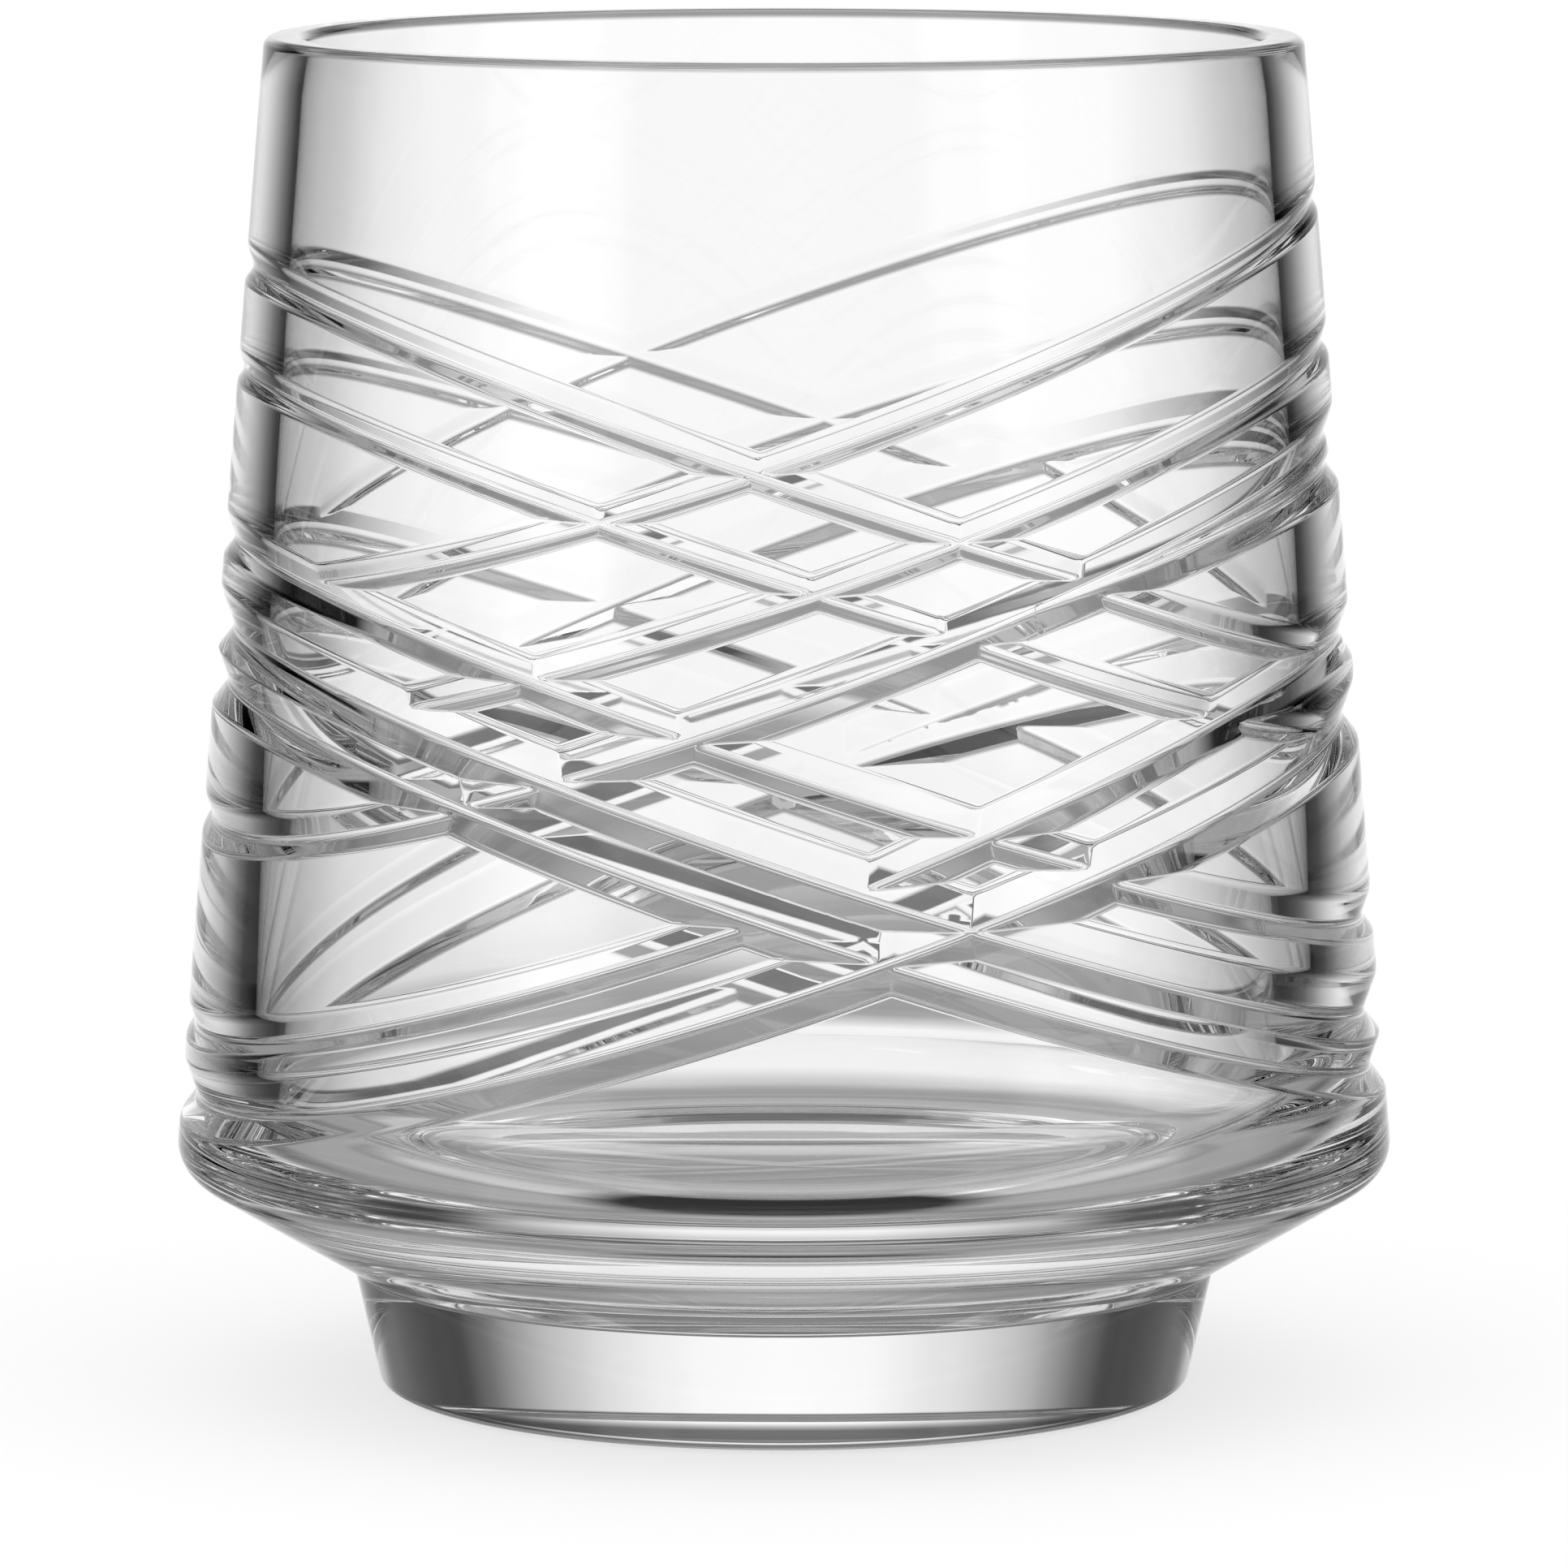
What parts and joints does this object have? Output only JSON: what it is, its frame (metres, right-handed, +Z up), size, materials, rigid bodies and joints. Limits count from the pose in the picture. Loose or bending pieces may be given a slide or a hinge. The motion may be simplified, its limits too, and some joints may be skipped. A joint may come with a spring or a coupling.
{
  "type": "whiskey tumbler",
  "caption": "Heavy cut-crystal whiskey tumbler with a leaning wall, crossing V-cut rings, a rounded shoulder and a solid foot, for serving spirits",
  "frame": {"origin": "centre of the foot's resting plane, on the glass's axis", "axes": "+Z up along the glass's axis to the rim, -Y to the front of the cut pattern, +X to the right of it"},
  "size_m": [0.09, 0.09, 0.1],
  "materials": {
    "crystal": "clear, colourless crystal, fire-polished inside and acid-polished in the cuts"
  },
  "bodies": {
    "root": {"tumbler": "crystal"}
  },
  "joints": []
}
